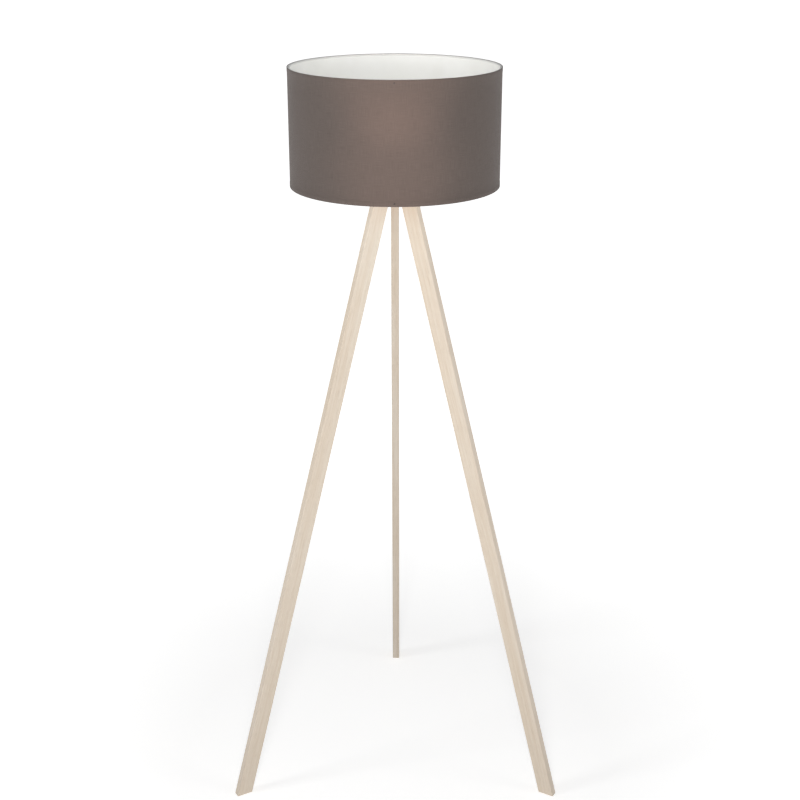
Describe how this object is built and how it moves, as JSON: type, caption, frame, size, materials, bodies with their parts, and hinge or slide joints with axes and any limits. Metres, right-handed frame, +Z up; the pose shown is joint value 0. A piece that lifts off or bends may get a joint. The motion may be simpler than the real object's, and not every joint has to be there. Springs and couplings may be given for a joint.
{
  "type": "tripod floor lamp",
  "caption": "Floor lamp with a drum fabric shade on a screw lampholder, carried by splayed rectangular wooden legs that fold on a steel hub.",
  "frame": {"origin": "on the floor, under the lamp's axis", "axes": "+Z up; one leg stands behind the axis on +Y, the other two in front of it at 210 and 330 degrees"},
  "size_m": [0.6396, 0.5564, 1.4],
  "materials": {
    "shade_fabric": "plain woven, taupe",
    "shade_lining": "matt off-white film",
    "white_wire": "white coated",
    "dark_metal": "dark lacquer",
    "white_plastic": "satin",
    "ceramic": "glazed",
    "brass": "plain",
    "opal": "opal",
    "bulb_plastic": "gloss",
    "nickel": "nickel plated",
    "black_plastic": "gloss",
    "zinc_steel": "zinc plated",
    "black_steel": "matt black powder coat",
    "wood": "pale limed, straight grain"
  },
  "bodies": {
    "base": {"holder_cap": "white_plastic", "holder_body": "white_plastic", "holder_core": "ceramic", "holder_screw_shell": "brass", "holder_centre_contact": "brass", "holder_terminal_screws": "brass", "threaded_tube": "zinc_steel", "tube_nut_upper": "zinc_steel", "tube_nut_lower": "zinc_steel", "tube_washers": "zinc_steel", "cord_bush": "white_plastic", "hub_plate": "black_steel", "hub_rivets": "zinc_steel", "leg_bracket_back": "black_steel", "leg_bracket_left": "black_steel", "leg_bracket_right": "black_steel", "pivot_bolts": "zinc_steel", "pivot_washers": "zinc_steel", "pivot_nuts": "zinc_steel"},
    "shade": {"shade_fabric": "shade_fabric", "shade_liner": "shade_lining", "shade_top_ring": "white_wire", "shade_bottom_ring": "white_wire", "shade_arms": "white_wire", "shade_centre_ring": "white_wire", "shade_rivets": "dark_metal"},
    "lower_nut": {"shade_nut_lower": "white_plastic"},
    "upper_nut": {"shade_nut_upper": "white_plastic"},
    "bulb": {"bulb_globe": "opal", "bulb_housing": "bulb_plastic", "bulb_screw_cap": "nickel", "bulb_insulator": "black_plastic", "bulb_contact": "nickel"},
    "leg_back": {"leg_back": "wood"},
    "leg_left": {"leg_left": "wood"},
    "leg_right": {"leg_right": "wood"}
  },
  "joints": [
    {"name": "leg_back_fold", "type": "hinge", "parent": "base", "child": "leg_back", "pos_m": [0, 0.024, 1.187], "axis": [-1, 0, 0], "range_deg": [0, 15.3]},
    {"name": "leg_left_fold", "type": "hinge", "parent": "base", "child": "leg_left", "pos_m": [-0.02079, -0.012, 1.187], "axis": [0.5, -0.866, 0], "range_deg": [0, 15.3]},
    {"name": "leg_right_fold", "type": "hinge", "parent": "base", "child": "leg_right", "pos_m": [0.02079, -0.012, 1.187], "axis": [0.5, 0.866, 0], "range_deg": [0, 15.3]},
    {"name": "shade_turn", "type": "hinge", "parent": "base", "child": "shade", "pos_m": [0, 0, 1.245], "axis": [0, 0, 1], "continuous": true},
    {"name": "lower_nut_turn", "type": "hinge", "parent": "base", "child": "lower_nut", "pos_m": [0, 0, 1.241], "axis": [0, 0, 1], "continuous": true},
    {"name": "upper_nut_turn", "type": "hinge", "parent": "base", "child": "upper_nut", "pos_m": [0, 0, 1.251], "axis": [0, 0, 1], "continuous": true},
    {"name": "bulb_turn", "type": "hinge", "parent": "base", "child": "bulb", "pos_m": [0, 0, 1.275], "axis": [0, 0, 1], "continuous": true}
  ]
}
